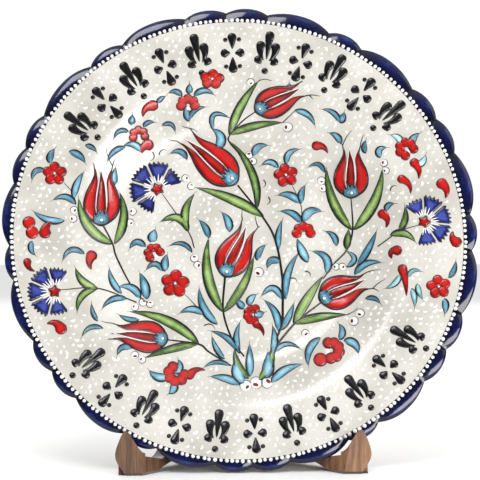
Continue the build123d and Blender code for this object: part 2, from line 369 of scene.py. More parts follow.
# ---- Plate body ----
def plate_rings():
    """Rings of the plate's skin, from the middle of its face round the rim to the foot, each
    with its radius, height, crest and the material of the band that ends on it."""
    angles, radii, full = rim_outline()
    rings = []

    def flat(radius, height, material):
        rings.append((radii * 0 + radius, radii * 0 + height, radii * 0, material))

    for r in [2.0, *np.linspace(8, 66, 9), *np.linspace(69, 113, 23), *np.linspace(117, 141, 8),
              GLAZE_EDGE]:
        flat(r, float(front_height(r)), 0)
    start = float(front_height(GLAZE_EDGE))
    for t in np.linspace(0.06, 1, 13):
        turn = t * math.pi / 2
        r = GLAZE_EDGE + (radii - GLAZE_EDGE) * math.sin(turn)
        swell = PUFF * (full - 0.45) * math.sin(math.pi * t ** 0.8)
        z = EDGE_DEPTH + (start - EDGE_DEPTH) * math.cos(turn) ** 0.8 + swell
        rings.append((r, z, full * math.sin(math.pi * t), 1))
    end = float(back_height(RIM_BACK))
    for t in np.linspace(0.12, 1, 8):
        turn = t * math.pi / 2
        r = radii - (radii - RIM_BACK) * (1 - math.cos(turn))
        rings.append((r, radii * 0 + EDGE_DEPTH + (end - EDGE_DEPTH) * math.sin(turn), full * 0.2,
                      1))
    for r in np.linspace(134, 84.5, 14):
        flat(r, float(back_height(r)), 1 if r > COBALT_BACK else 0)
    for r, z in FOOT:
        flat(r, z, 2 if z < FOOT_FACE else 0)
    return np.radians(angles), rings


def make_plate():
    """The plate's whole skin as one closed mesh: white, cobalt and bare clay."""
    angles, rings = plate_rings()
    n = len(angles)
    x = np.concatenate([r * np.sin(angles) for r, *_ in rings])
    y = np.concatenate([r * np.cos(angles) for r, *_ in rings])
    z = np.concatenate([ring[1] for ring in rings])
    crest = np.concatenate([ring[2] for ring in rings])
    faces, slots = [], []
    for k in range(len(rings) - 1):
        for i in range(n):
            j = (i + 1) % n
            faces.append((k * n + i, (k + 1) * n + i, (k + 1) * n + j, k * n + j))
        slots += [rings[k + 1][3]] * n
    last = (len(rings) - 1) * n
    faces += [tuple(range(n)), tuple(last + i for i in reversed(range(n)))]
    slots += [0, 0]
    plate = make_piece("plate_skin", to_row(x, y, z), faces, [GROUND, COBALT, BISCUIT], "plate",
                       {"core": crest}, slots)
    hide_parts("plate")


# ---- Raised painting ----
SUNK = -0.05  # how far a raised shape's edge lies under the glaze
OUTLINE_STEP = 0.9  # spacing of points along an outline
FILL_SPACING = 1.15  # spacing of points inside an outline
FILL_INSET = 0.42  # how far inside it the first row of them lies
FILL_CLEAR = 0.33  # and how near to it none may come
POOLED = 2.6  # width of the darker band where glaze pools at an edge
FILL_HALO, STROKE_HALO = 1.7, 1.0  # ground left free of dabs round a shape
BOW_PULL = 1.4  # how far out a bow's control point lies, in bulges
CELL = 0.5  # cell of the grid that remembers where there is paint
HALF_GRID = 320  # cells from its middle to its edge
painted = np.zeros((2 * HALF_GRID, 2 * HALF_GRID), bool)


def mark_painted(points, reach):
    """Remembers that there is paint within reach of these points."""
    cells = np.round(points / CELL).astype(int) + HALF_GRID
    steps = range(-round(reach / CELL), round(reach / CELL) + 1)
    for dx in steps:
        for dy in steps:
            painted[cells[:, 0] + dx, cells[:, 1] + dy] = True


class Layer:
    """All the raised shapes of one colour, gathered into one mesh."""

    def __init__(self, paint):
        self.paint = paint
        self.points, self.heights, self.core, self.tone = [], [], [], []
        self.faces, self.count = [], 0

    def add(self, drawn, heights, faces, core, tone, reach):
        points = on_glaze(drawn)
        mark_painted(points, reach)
        self.points.append(points)
        self.heights.append(heights)
        self.core.append(core)
        self.tone.append(np.full(len(points), tone))
        self.faces += [tuple(self.count + i for i in face) for face in faces]
        self.count += len(points)

    def build(self):
        points = np.concatenate(self.points)
        surface = front_height(np.hypot(*points.T))
        heights = surface + np.concatenate(self.heights)
        make_piece(f"painted_{self.paint}", to_row(*points.T, heights), self.faces,
                   [PAINTS[self.paint]], "plate",
                   {"core": np.concatenate(self.core), "tone": np.concatenate(self.tone)})


LAYERS = {paint: Layer(paint) for paint in PAINTS if paint != "slip"}


def curve(points, step=OUTLINE_STEP):
    """A smooth line through the points, open, sampled evenly."""
    p = np.array(points, float)
    if len(p) == 2:
        fine = p[0] + np.linspace(0, 1, 24)[:, None] * (p[1] - p[0])
    else:
        ends = np.vstack([2 * p[0] - p[1], p, 2 * p[-1] - p[-2]])
        t = np.linspace(0, 1, 16, endpoint=False)[:, None]
        parts = []
        for a, b, c, d in zip(ends, ends[1:], ends[2:], ends[3:]):
            parts.append(0.5 * (2 * b + (c - a) * t + (2 * a - 5 * b + 4 * c - d) * t ** 2
                                + (3 * b - a - 3 * c + d) * t ** 3))
        fine = np.vstack([*parts, p[-1:]])
    run = np.concatenate([[0], np.cumsum(np.hypot(*np.diff(fine, axis=0).T))])
    count = max(4, round(run[-1] / step) + 1)
    at = np.linspace(0, run[-1], count)
    return np.column_stack([np.interp(at, run, fine[:, 0]), np.interp(at, run, fine[:, 1])])


def bow(start, end, bulge, step=OUTLINE_STEP):
    """A bowed line. Its middle lies 0.7 of bulge to the left, as a share of its length."""
    a, b = np.array(start, float), np.array(end, float)
    side = np.array((a[1] - b[1], b[0] - a[0]))
    control = (a + b) / 2 + BOW_PULL * bulge * side
    t = np.linspace(0, 1, 7)[:, None]
    return curve((1 - t) ** 2 * a + 2 * t * (1 - t) * control + t ** 2 * b, step)


def sides(line):
    """Unit vectors to the left of a line, at each of its points."""
    ahead = np.gradient(line, axis=0)
    ahead /= np.maximum(np.hypot(*ahead.T), 1e-9)[:, None]
    return np.column_stack([-ahead[:, 1], ahead[:, 0]])


def edge_distance(points, outline):
    """How far each point is from the nearest side of a closed outline."""
    a, b = outline, np.roll(outline, -1, axis=0)
    run = b - a
    offset = points[:, None] - a[None]
    share = np.sum(offset * run, axis=2) / np.maximum(np.sum(run * run, axis=1), 1e-12)
    nearest = offset - np.clip(share, 0, 1)[..., None] * run
    return np.sqrt(np.min(np.sum(nearest ** 2, axis=2), axis=1))


def inside(points, outline):
    """Which points lie inside a closed outline."""
    a, b = outline, np.roll(outline, -1, axis=0)
    x, y = points[:, :1], points[:, 1:]
    rising = (a[:, 1] > y) != (b[:, 1] > y)
    slope = (b[:, 0] - a[:, 0]) / np.where(b[:, 1] == a[:, 1], 1e-12, b[:, 1] - a[:, 1])
    return np.sum(rising & (x < a[:, 0] + (y - a[:, 1]) * slope), axis=1) % 2 == 1


def fill(paint, outline, height=0.55, shoulder=1.5, tone=0.0, base=0.0):
    """A raised, round-shouldered patch of paint inside a closed outline."""
    outline = outline[np.hypot(*(outline - np.roll(outline, 1, axis=0)).T) > 0.05]
    low, high = outline.min(axis=0), outline.max(axis=0)
    grid = np.stack(np.meshgrid(np.arange(low[0], high[0], FILL_SPACING),
                                np.arange(low[1], high[1], FILL_SPACING)), axis=-1).reshape(-1, 2)
    normals = sides(np.vstack([outline[-1:], outline, outline[:1]]))[1:-1]
    turn = np.sum(outline[:, 0] * np.roll(outline[:, 1], -1)
                  - outline[:, 1] * np.roll(outline[:, 0], -1))
    inset = outline + normals * FILL_INSET * (1 if turn > 0 else -1)
    loose = np.vstack([inset, grid])
    loose = loose[inside(loose, outline)]
    loose = loose[edge_distance(loose, outline) > FILL_CLEAR]
    points = [Vector(p) for p in np.vstack([outline, loose])]
    found = delaunay_2d_cdt(points, [], [list(range(len(outline)))], 1, 1e-4)
    points = np.array([tuple(v) for v in found[0]])
    depth = np.minimum(edge_distance(points, outline) / shoulder, 1)
    dome = np.sqrt(1 - (1 - depth) ** 2)
    core = np.minimum(edge_distance(points, outline) / POOLED, 1)
    LAYERS[paint].add(points, base + SUNK + (height - SUNK) * dome, found[2], core, tone,
                      FILL_HALO)


def stroke(paint, line, widths, height=0.5, base=0.0, tone=0.0):
    """A raised brush line. Its widths are spread evenly along it."""
    widths = np.interp(np.linspace(0, 1, len(line)), np.linspace(0, 1, len(widths)), widths)
    normals = sides(line)
    lanes = [(-1.0, 0.0), (-0.62, 0.8), (0.0, 1.0), (0.62, 0.8), (1.0, 0.0)]
    rounding = np.minimum(widths / 0.9, 1)
    points = np.vstack([line + normals * (side * widths / 2)[:, None] for side, _ in lanes])
    heights = np.concatenate([base + SUNK + (height * rounding - SUNK) * lift
                              for _, lift in lanes])
    n = len(line)
    faces = []
    for lane in range(len(lanes) - 1):
        for k in range(n - 1):
            faces.append((lane * n + k, (lane + 1) * n + k, (lane + 1) * n + k + 1,
                          lane * n + k + 1)[::-1])
    core = np.repeat([0.2, 0.7, 1.0, 0.7, 0.2], n)
    LAYERS[paint].add(points, heights, faces, core, tone, STROKE_HALO)


def dot(paint, centre, radius, height=0.5, squash=1.0, turn=0.0, base=0.0, shoulder=None):
    """A round or oval drop of paint, domed all over unless its shoulder is given."""
    a = np.linspace(0, 2 * math.pi, max(10, round(radius * 9)), endpoint=False)
    oval = np.column_stack([radius * np.cos(a), radius * squash * np.sin(a)])
    c, s = math.cos(turn), math.sin(turn)
    outline = oval @ np.array([[c, s], [-s, c]]) + np.array(centre, float)
    fill(paint, outline, height, shoulder or max(radius * 0.9, 0.5), base=base)


def ray(angle):
    """Unit vector at an angle from the right, turning to the left."""
    return np.array((math.cos(angle), math.sin(angle)))


def local(base, tip, width):
    """From a motif's own coordinates (half widths across, lengths along) to the drawing's."""
    base, tip = np.array(base, float), np.array(tip, float)
    along = tip - base
    length = np.hypot(*along)
    across = np.array((along[1], -along[0])) / length

    def place(points):
        p = np.array(points, float)
        return base + p[:, :1] * width / 2 * across + p[:, 1:] * along
    return place


# ---- Motifs ----
rng = random.Random(7)


def leaf(paint, base, tip, bulge, width, ink):
    """A pointed leaf along a bowed rib, inked along its outer side and lightly along its inner."""
    rib = bow(base, tip, bulge, 0.8)
    t = np.linspace(0, 1, len(rib))
    half = width / 2 * np.sin(math.pi * np.clip(t, 0, 1) ** 0.72) ** 0.8
    normals = sides(rib)
    outer_sign = 1 if bulge >= 0 else -1
    left = rib + normals * half[:, None] * outer_sign
    right = rib - normals * half[:, None] * outer_sign
    fill(paint, np.vstack([left, right[-2:0:-1]]), 0.5, min(1.5, width / 2.4),
         rng.uniform(-0.12, 0.12))
    left = np.vstack([left, rib[-1] + 0.9 * (rib[-1] - rib[-4])])
    stroke("black", left, [0.7 * ink, 1.6 * ink, 1.4 * ink, 0.7 * ink, 0.2], 0.5)
    stroke("black", right[len(right) // 8:], [0.4, 0.7 * ink, 0.7 * ink, 0.3], 0.42)


def comma(head, tail, bulge, width, paint="red"):
    """A drop with a round head that runs out into a bowed tail."""
    rib = bow(head, tail, bulge, 0.6)
    t = np.linspace(0, 1, len(rib))
    half = width / 2 * np.sqrt(np.clip(1 - t, 0, 1)) * (1 - 0.35 * t)
    normals = sides(rib)
    back = rib[0] - (rib[1] - rib[0]) / np.hypot(*(rib[1] - rib[0])) * width * 0.48
    cheeks = [rib[0] - (rib[0] - back) * 0.72 + s * normals[0] * width * 0.36 for s in (1, -1)]
    left, right = rib + normals * half[:, None], rib - normals * half[:, None]
    head_end = curve([right[0], cheeks[1], back, cheeks[0], left[0]], 0.7)
    outline = np.vstack([head_end[:-1], left, right[-2:0:-1]])
    fill(paint, outline, 0.7, min(2.2, width / 2.2), rng.uniform(-0.1, 0.1))


LEFT_PETAL = (
    [(-0.02, 0.02), (-0.52, 0.04), (-0.92, 0.17), (-1.05, 0.34), (-0.93, 0.54), (-0.62, 0.74),
     (-0.47, 0.88), (-0.52, 1.04)],
    [(-0.52, 1.04), (-0.34, 0.90), (-0.27, 0.72), (-0.35, 0.50), (-0.38, 0.30), (-0.28, 0.14)],
)
MIDDLE_PETAL = (
    [(-0.22, 0.14), (-0.33, 0.30), (-0.31, 0.50), (-0.22, 0.72), (-0.12, 0.97)],
    [(-0.12, 0.97), (0.04, 0.82), (0.19, 0.66), (0.26, 0.45), (0.28, 0.28), (0.18, 0.14)],
)
RIGHT_PETAL = (
    [(0.02, 0.02), (0.52, 0.04), (0.92, 0.17), (1.05, 0.34), (0.93, 0.54), (0.63, 0.74),
     (0.50, 0.88), (0.58, 1.03)],
    [(0.58, 1.03), (0.36, 0.88), (0.25, 0.74), (0.31, 0.56), (0.33, 0.36), (0.23, 0.14)],
)
CALYX = [(-0.46, 0.02), (-0.44, 0.17), (-0.30, 0.13), (-0.20, 0.24), (-0.07, 0.17), (0.06, 0.25),
         (0.18, 0.16), (0.34, 0.21), (0.44, 0.05), (0.22, -0.02), (-0.22, -0.02)]


def tulip(base, tip, width, *whiskers):
    """A tulip from its base to the tips of its red petals, with long inked whiskers."""
    place = local(base, tip, width)
    tips = place([LEFT_PETAL[0][-1], MIDDLE_PETAL[0][-1], RIGHT_PETAL[0][-1]])
    for k, (up, down) in enumerate((LEFT_PETAL, MIDDLE_PETAL, RIGHT_PETAL)):
        outline = np.vstack([curve(place(up), 0.8)[:-1], curve(place(down), 0.8)])
        fill("red", outline, 0.8, 2.4, (-0.04, -0.26, 0.06)[k])
        if k == 1:
            for edge in (up[1:], down[::-1][1:]):
                stroke("white", curve(place(edge)), [0.25, 0.6, 0.5, 0.25], 0.3, 0.62)
        else:
            stroke("black", curve(place(up)), [1.6, 1.6, 1.2, 1.0, 0.7], 0.55)
            streak = [(0.72 * u[0], 0.9 * u[1] + 0.08) for u in up[2:6]]
            stroke("black", curve(place(streak)), [0.1, 0.28, 0.26, 0.1], 0.12, 0.78, -0.2)
    for end in np.array(whiskers, float):
        start = tips[np.argmin(np.hypot(*(tips - end).T))]
        stroke("black", bow(start, end, 0.08), [0.7, 0.6, 0.25], 0.45)
    fill("blue", curve(place([*CALYX, CALYX[0]]), 0.7)[:-1], 0.75, 1.0, -0.3, 0.25)
    stroke("black", curve(place(CALYX[:9]), 0.6), [0.4, 0.5, 0.5, 0.4], 0.25, 0.85)
    base_line = [(-0.75, 0.10), (-0.42, 0.015), (0.0, -0.03), (0.42, 0.015), (0.75, 0.10)]
    stroke("black", curve(place(base_line)), [0.5, 1.5, 1.9, 1.5, 0.5], 0.8)
    eye = place([(0.03, 0.055)])[0]
    dot("black", eye, width * 0.085, 0.3, base=0.85)
    dot("white", eye, width * 0.062, 0.45, base=0.9)


PETAL_SHOULDER = 1.2  # how far a petal's edge takes to rise to its flat top
BLOSSOM_PETALS = 5
CARNATION_SWEEP, CARNATION_PETALS = 250.0, 5


def blossom(centre, radius, turn, squash=1.0):
    """An open flower of overlapping round petals with a white eye."""
    for k in range(BLOSSOM_PETALS):
        a = turn + 2 * math.pi * k / BLOSSOM_PETALS
        offset = radius * 0.56 * np.array((math.cos(a), math.sin(a) * squash))
        dot("red", centre + offset, radius * 0.50, 0.75, 0.92, a, shoulder=PETAL_SHOULDER)
        crease = [centre + share * radius * ray(a + 0.63) for share in (0.24, 0.66)]
        stroke("black", curve(crease, 0.8), [0.25, 0.2, 0.1], 0.1, 0.62)
    dot("red", centre, radius * 0.4, 0.8)
    dot("black", centre, radius * 0.17, 0.3, base=0.7)
    dot("white", centre, radius * 0.115, 0.45, base=0.8)


def arched_blossom(centre, radius, facing, sweep, lobes):
    """A flower seen from the side: round lobes along an arch, with a white heart."""
    facing = math.radians(facing)
    arch = []
    for k in range(lobes):
        a = facing + math.radians(sweep) * (k / (lobes - 1) - 0.5)
        offset = radius * 0.6 * ray(a)
        arch.append(centre + offset)
        dot("red", centre + offset, radius * 0.46, 0.75, 0.95, a, shoulder=PETAL_SHOULDER)
    stroke("red", curve(arch), [radius * 0.62, radius * 0.7, radius * 0.62], 0.78)
    heart = centre - 0.28 * radius * ray(facing)
    dot("white", heart, radius * 0.2, 0.5)


def carnation(centre, radius, facing):
    """A fan of fringed navy petals, rayed with white, round a red heart."""
    span = math.radians(CARNATION_SWEEP) / CARNATION_PETALS
    start = math.radians(facing - CARNATION_SWEEP / 2)

    def at(angle, reach):
        return centre + radius * reach * ray(angle)

    for k in range(CARNATION_PETALS):
        low, high = start + k * span + 0.03, start + (k + 1) * span - 0.03
        size = 1.0 if 0 < k < CARNATION_PETALS - 1 else 0.9
        teeth = [at(low + (high - low) * i / 10, size * (1.0 if i % 2 else 0.9))
                 for i in range(11)]
        middle = (low + high) / 2
        corners = [*teeth, at(high - 0.02, 0.5), at(middle, 0.22), at(low + 0.02, 0.5)]
        outline = np.vstack([curve(pair, 0.8)[:-1]
                             for pair in zip(corners, [*corners[1:], corners[0]])])
        fill("navy", outline, 0.55, 1.2, rng.uniform(-0.15, 0.1))
        for i in range(3):
            a = low + (high - low) * (i + 0.5) / 3 + rng.uniform(-0.04, 0.04)
            reach = size * rng.uniform(0.6, 0.8)
            stroke("white", curve([at(a, 0.24), at(a, reach)], 0.8), [1.1, 0.75, 0.1], 0.75)
    heart = [at(math.radians(facing) + q, 0.25 if k % 2 else 0.17)
             for k, q in enumerate(np.arange(0.3, 6.5, 0.62))]
    fill("red", curve([*heart, heart[0]], 0.6)[:-1], 0.9, 1.2, -0.1)


def berry(centre, radius):
    """A small white berry in a broken ink ring, with a red dab."""
    opening = rng.uniform(0, 6.3)
    a = opening + np.radians(np.linspace(0, 290, 16))
    ring = centre + radius * np.column_stack([np.cos(a), np.sin(a)])
    dot("white", centre, radius * 0.9, 0.45)
    stroke("black", curve(ring, 0.7), [0.15, 0.5, 0.45, 0.1], 0.5)
    dab = centre + radius * 0.3 * ray(opening)
    dot("red", dab, radius * rng.uniform(0.4, 0.55), 0.4, 0.7, opening + 1.5, base=0.3)


def hook(start, end):
    """A short inked curl."""
    stroke("black", bow(start, end, 0.45, 0.7), [0.9, 0.72, 0.2], 0.45)


# ---- The painting ----
def paint_tulips():
    tulip((-86, 11), (-85, 47), 21, (-91, 50), (-83, 60), (-77, 53))
    tulip((-3, 38), (-34, 67), 21, (-36, 74), (-44, 65), (-26, 70))
    tulip((11, 84), (40, 98), 18, (39, 102), (50, 93), (46, 91))
    tulip((69.5, 28.6), (69.5, 60), 20, (70, 71), (78, 69), (62, 66))
    tulip((-46, -64), (-79, -59), 19, (-86, -52), (-80, -60), (-82, -64))
    tulip((-9, -22), (6, 10), 20, (2, 20), (10, 16), (13, 9))
    tulip((51, -38), (80, -26), 20, (88, -19), (91, -25), (87, -33))


# Each leaf: where its base is, where its tip is, its bulge to the left and its width.
GREEN_LEAVES = [
    (-79, -2, -100, 27, 0.22, 6), (-78, -2, -74.5, 31, -0.18, 5), (15, 15, -27, 34, -0.07, 6),
    (11, 21, -6, 64, -0.16, 4.6), (-6, 68, 12, 103, 0.08, 5), (-6, 68, 27, 76, 0.08, 4.6),
    (70, 7, 54, 47, 0.13, 5.4), (71, 7, 89, 46, -0.14, 6), (67, -6, 68, 7, 0, 4),
    (-25.5, -67, -68, -46, -0.14, 6), (-25.5, -67, -59, -76, -0.05, 4.4), (-10, -46, -19, 2, 0.15, 6),
    (-10, -46, 9, -10, -0.1, 5), (34, -54, 52, -23, 0.03, 5.6), (34, -54, 67, -48, 0.06, 5),
    (-32, 6, -49, 12, -0.46, 4.6), (-32, 6, -28, 30, 0.21, 4.6), (-88, -31, -102, -18, 0.22, 4.6),
    (-88, -31, -101, -46, -0.3, 4), (99, 6, 103, 22, -0.18, 3.6), (94, 3, 109.5, -1, 0.3, 4),
    (6, -89, -3, -70, 0.16, 4.2), (12, -90, 21, -68, -0.14, 4.6),
]
BLUE_LEAVES = [
    (-118, 50, -115, 59, 0.15, 3.8), (-121, 45, -129, 39, -0.44, 3), (-106, 57, -96, 50, 0.2, 4),
    (-96, 61, -89, 57, 0.2, 2.6), (-103, 27, -97, 44, 0.1, 4), (-102, 23, -116, 26, -0.35, 3.5),
    (-77, 36, -77, 47, 0.1, 3.6), (-69, 70, -78, 66, -0.38, 2.6), (-71, 60, -82, 51, -0.22, 3.2),
    (-61, 57, -72, 61, -0.35, 4), (-67, 74.5, -66.5, 81, 0, 3.8), (-59.5, 73, -53, 76, 0.3, 2.6),
    (-48, 74, -40, 70, 0.5, 2.2), (-51, 88.5, -46, 93, 0.1, 2.6), (-36, 93, -44, 95, -0.35, 3),
    (-31, 94.5, -31, 101, 0, 3.6), (-28, 93, -16, 94, 0.37, 3.4), (-31, 77, -33, 87, 0.1, 4),
    (-31, 78, -21, 86, 0.27, 2.8), (-16, 71, -6, 79, 0.85, 2.6), (-14.5, 58.6, -17, 72, -0.45, 5.5),
    (-33, 52, -43, 56, -0.46, 3.2), (-19.4, 1.4, -25, 13, -0.15, 3.8), (-6.6, 5.5, -11, 18, -0.2, 4.4),
    (-109, 13, -128, 18.6, 0.18, 4), (-128.6, -0.6, -127, -9.6, -0.3, 3),
    (-58.7, -4.4, -68.3, -5.4, -0.55, 3.6), (-55, -1.3, -52.4, 7, 0, 5.4),
    (-29.6, -8, -43.5, -3.5, -0.35, 2.4), (-73, -34, -81, -18, 0.15, 3.6),
    (-62, -37.6, -75, -30, -0.32, 4.4), (-58, -38, -62, -21, -0.08, 5.4), (-48, -20, -58, -19, -0.6, 3.2),
    (-46, -20, -45, -9, 0.1, 4.6), (-13.5, -54, -25, -31, 0.17, 4.6), (-22, -48, -37, -47, -0.28, 4),
    (-70, -38, -85.4, -44, -0.26, 3.4), (-88, -52, -92, -41, 0.12, 2.4), (-85, -57, -98, -62, -0.34, 2.6),
    (-62.4, -51, -75, -48, 0.15, 3), (-67, -70, -76, -74, -0.45, 3.4), (-96.5, -9, -110, -13, -0.5, 3),
    (0, -93.5, -18, -88, -0.12, 4.6), (-6, -81, -22, -82, -0.25, 2.4), (-9, -76.5, -17, -62, 0.12, 3),
    (0, -73, -18, -58.5, -0.18, 3.6), (3, -92, -1, -76, 0.2, 7), (16, -89, 17.8, -72, -0.1, 7),
    (20, -92, 39, -80, 0.15, 5), (6.8, -88, 6.3, -67, 0, 4.6), (0.3, -73, 0.3, -53, 0.15, 3.4),
    (21.5, -73, 38, -70, 0.38, 2.8), (25.7, -58, 34, -40.5, -0.05, 3.8), (24, -58.5, 15.5, -38.6, -0.2, 4.4),
    (20, -74, 20.6, -55, -0.12, 4), (29, -38, 37, -8, 0.14, 4.4), (26, -38, 13.7, -36, -0.7, 3.8),
    (25.6, -14.4, 17.4, -18, -0.55, 4), (11.4, -13, 16.5, -3, 0.2, 3.6), (54, -21.5, 45.4, -7, -0.42, 4.6),
    (66.6, -17, 66.6, -7, -0.7, 3), (73, -17, 85.4, 6, -0.05, 4), (72, -22.4, 88.3, -14.4, 0.27, 4),
    (130, -24, 134.7, -13.4, -0.15, 3), (127.4, -37.6, 127.8, -47.6, 0.1, 3.8),
    (78.6, -38, 87.8, -41, 0.3, 2.6), (28.6, 95.4, 31, 101.4, -0.2, 4), (34.4, 83.6, 47, 74, 0.25, 3.4),
    (62.3, 76, 51.7, 84.6, -0.25, 3), (62.3, 76, 65.2, 82.6, -0.1, 4), (62.8, 62.3, 56, 69.2, -0.25, 3.6),
    (79, 56.3, 78.7, 64.4, 0.2, 3), (87.8, 53.4, 91.6, 59.8, 0.6, 3.6), (8.9, 54.4, 17.6, 61.3, 0.35, 4),
    (29.6, 48.9, 37.4, 58.8, 0.38, 3.4), (23.9, 46.4, 13.7, 48.4, -0.42, 3.2),
    (37.3, 23.7, 23.9, 29.1, -0.27, 4.4), (38.7, 23.7, 41, 35.5, 0.15, 3.8),
    (38.3, 10.8, 25.3, 18.7, -0.25, 4), (40.2, 11.8, 51.2, 18.7, 0.4, 5), (43, -14, 36, 1, 0.05, 5),
    (24.8, -6, 26.7, 13.2, 0.1, 3.4), (59.9, -3.6, 53.6, 5.8, -0.3, 3.4), (52.7, 43.5, 43, 47.4, -0.5, 2.4),
    (91.6, 18.7, 96.4, 23.6, 0.4, 3), (107, 61, 112, 69, 0.2, 4), (-44, -88, -56, -84, 0.25, 5),
    (-40, -86, -38, -77, -0.3, 4), (-41, -92, -44, -99, 0.3, 4.5), (50.5, -63, 43, -81, -0.25, 4.5),
    (62, -64, 62, -54, -0.3, 3.8), (65, -65, 74, -73, 0.35, 5), (3, -44, -2, -38, 0, 4),
    (6, -42, 10.5, -35, 0.2, 4), (9.5, -49, 15.5, -46.5, 0, 4.4),
]
PALE_LEAVES = [
    (101, 61, 94, 68, -0.3, 4), (110, 48, 116, 55, -0.2, 4), (100, -22, 91, -31, 0.2, 3.5),
    (105, -24, 113, -20, 0.4, 2.5), (107, -31, 109, -43, 0.1, 3.4), (111, -28, 114, -38, -0.1, 3.2),
]


def paint_leaves():
    """Leaves of three colours, each with the weight of its ink."""
    for paint, ink, leaves in (
            ("green", 1.15, GREEN_LEAVES), ("blue", 1.0, BLUE_LEAVES), ("pale", 0.7, PALE_LEAVES)):
        for x, y, tip_x, tip_y, bulge, width in leaves:
            leaf(paint, (x, y), (tip_x, tip_y), bulge, width, ink)


# Loose red drops: head, tail, bulge to the left and width.
DROPS = [
    ((-54, 87), (-60, 79.5), -0.3, 7.5), ((-57, 61.5), (-60.5, 56), -0.3, 8),
    ((48, 61), (55, 56), 0.3, 6.5), ((101, 39.5), (106.5, 30), 0.28, 6),
    ((126, 36.5), (128, 27), 0.3, 7.5), ((89, 17), (91, 8), 0.34, 6.5),
    ((-132, -14), (-127, -20), -0.28, 5.5), ((-92, -10), (-92, -19), -0.22, 7.5),
    ((-111, -57), (-120, -54), -0.34, 8), ((98, -6.5), (95, -12), -0.55, 7),
    ((135, -1), (133, 6), 0.28, 7.5), ((-121, 5), (-115.5, 12), 0.28, 8),
    ((-31, -87), (-21, -84), 0.28, 6.5), ((10.5, -54.5), (15, -62), 0.25, 5),
    ((109, 50), (111.5, 39.5), 0.2, 6.5), ((101.5, -18.5), (104, -36), 0.05, 6.5),
]


def paint_flowers():
    blossom((-115, 43), 7.5, 0.3)
    blossom((29, 42), 7.5, 0.5)
    blossom((-40, -28), 8.75, 0.2)
    blossom((124, -30), 7.5, 0.45)
    blossom((-17, 104), 7.5, 0.2, 0.7)
    arched_blossom((-32, 87), 7.2, 90, 190, 5)
    arched_blossom((-62.5, 67.5), 6.3, 95, 210, 5)
    arched_blossom((-53, -8.5), 6.5, 120, 210, 5)
    arched_blossom((40, 4.5), 7.2, 90, 180, 5)
    arched_blossom((9, -48), 6.6, 175, 200, 6)
    arched_blossom((-39, -86), 8.2, 235, 235, 6)
    arched_blossom((57, -71), 8.4, 10, 200, 6)
    arched_blossom((104, 59), 7.2, 130, 260, 6)
    for centre, radius in [((-131, 11.5), 4.2), ((-129, 5), 4.2), ((50.5, -77), 4.6)]:
        dot("red", centre, radius, 0.75)
    carnation((-51, 33), 18.2, 138)
    carnation((115, 12), 17.6, 18)
    carnation((-115, -33), 17.6, 181)
    for drop in DROPS:
        comma(*drop)


ROOT, FORK = (18.7, -73.7), (14.7, 14.8)
STEMS = [
    ([ROOT, (26, -55.6), (27, -42), (26.6, -23), (22.4, 0), FORK, (-1, 35.5)], (1.4, 1.7, 1.5, 1.2)),
    ([FORK, (10, 23), (8, 45), (-6, 63), (-6, 68)], (0.9, 1.2, 1.0)),
    ([(-6, 68), (2, 77), (10, 83)], (1.0, 0.9, 0.7)),
    ([ROOT, (34.4, -53.8), (51, -40)], (1.6, 1.4, 1.1)),
    ([(69.5, 28), (70.5, 7), (67, -6), (59, -15), (52, -25)], (0.7, 1.2, 1.2, 0.9)),
    ([(-9, -24), (-10, -46), (-4, -65), (3, -75)], (1.5, 1.3, 1.1)),
    ([(-46, -64), (-25.5, -67), (-19, -72), (-5, -81)], (0.8, 1.4, 1.0)),
    ([(-85, 10), (-79, -2), (-76, -12), (-65, -33), (-55, -42)], (1.2, 1.2, 0.7)),
    ([(-112, -32), (-88, -31), (-64, -40)], (0.5, 1.0, 0.9)),
    ([(-48, 30), (-32, 6), (-28, -5)], (0.45, 0.8, 0.8)),
    ([(112, 10), (99.8, 5.8), (86, -4)], (0.45, 0.8, 0.8)),
    ([(-34, -35), (-31, -38), (-22, -48)], (0.4, 0.6, 0.6)),
    ([(33, 35), (38, 24), (39, 14)], (0.4, 0.6, 0.5)),
    ([(12, 103), (16, 104), (20, 103)], (0.6, 0.5, 0.3)),
    ([(27, 76), (31, 80), (35, 84)], (0.7, 0.6, 0.4)),
    ([(67, -48), (71, -46), (74, -43)], (0.6, 0.5, 0.3)),
    ([(-109, 37), (-104, 31), (-102, 25)], (0.4, 0.6, 0.7)),
]


def paint_stems():
    """The stalks, each through its points, with its widths spread along it."""
    for points, widths in STEMS:
        stroke("black", curve(points), widths, 0.5)


BERRIES = [
    ((-66.5, 18.6), 2.4), ((-68, 11.4), 2.4), ((-103, 19.6), 2.3), ((-103.5, 14), 2.4),
    ((-33.5, 40), 2.4), ((-30, 35), 2.3), ((7, 102), 2.4), ((90, 50), 2.3), ((91, 45), 2.3),
    ((30, 73), 3.0), ((51, 38.5), 2.5), ((52, 33.6), 2.4), ((6, 55), 2.3), ((8.5, 51), 2.3),
    ((-65, -74), 2.4), ((-60.5, -77), 2.3), ((71, -52), 3.0), ((75, -47), 2.8), ((60, -17), 2.3),
    ((64, -17), 2.3), ((41, -60), 2.4), ((-28, -11.5), 2.5), ((-26, -16), 2.4), ((-60, -40), 2.5),
    ((-65, -43), 2.4), ((-55.5, -41), 2.4), ((12, -20.5), 3.0), ((4, -94), 3.7), ((10.4, -92), 3.9),
    ((17.3, -92), 3.5),
]
HOOKS = [
    ((15, 39), (14.5, 34)), ((18, 28), (17, 23)), ((-54, 57), (-56, 51)), ((41, -20), (44, -24)),
    ((-42, 16), (-44, 11)), ((-50, 55), (-45, 58)), ((31, -25), (36, -27)), ((-22, -55), (-15, -58)),
    ((94, 32), (98, 35)),
]


def paint_berries():
    for centre, radius in BERRIES:
        berry(centre, radius)
    for start, end in HOOKS:
        hook(start, end)


